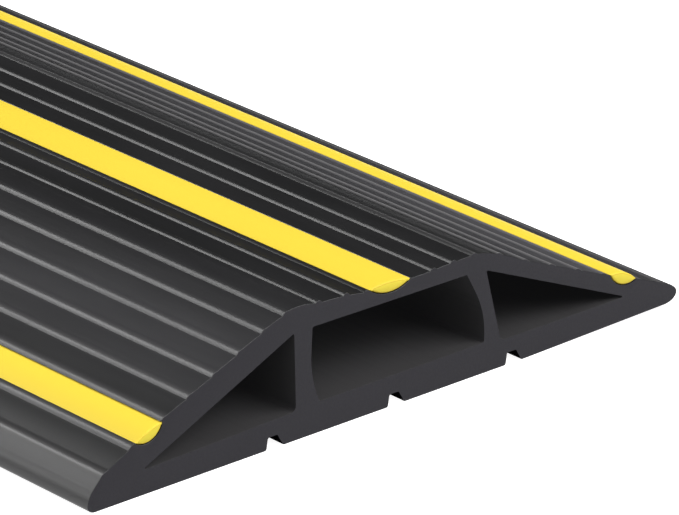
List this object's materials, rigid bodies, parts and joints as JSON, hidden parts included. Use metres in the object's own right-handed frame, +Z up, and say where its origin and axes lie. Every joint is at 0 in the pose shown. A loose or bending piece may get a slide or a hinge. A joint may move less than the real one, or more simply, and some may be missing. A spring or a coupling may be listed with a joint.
{
  "type": "floor cord cover",
  "caption": "Flexible extruded floor cord cover with ramped, fluted sides, cord channels right through it, a notched flat underside and inlaid yellow warning stripes.",
  "frame": {"origin": "centre of the underside, on the floor plane", "axes": "+Y along the length, +Z up out of the floor, +X across the cover; the picture looks at the end at -Y"},
  "size_m": [0.083, 1, 0.015],
  "materials": {
    "black_rubber": "satin",
    "yellow_rubber": "satin"
  },
  "bodies": {
    "root": {"cover_body": "black_rubber", "left_stripe": "yellow_rubber", "centre_stripe": "yellow_rubber", "right_stripe": "yellow_rubber"}
  },
  "joints": []
}
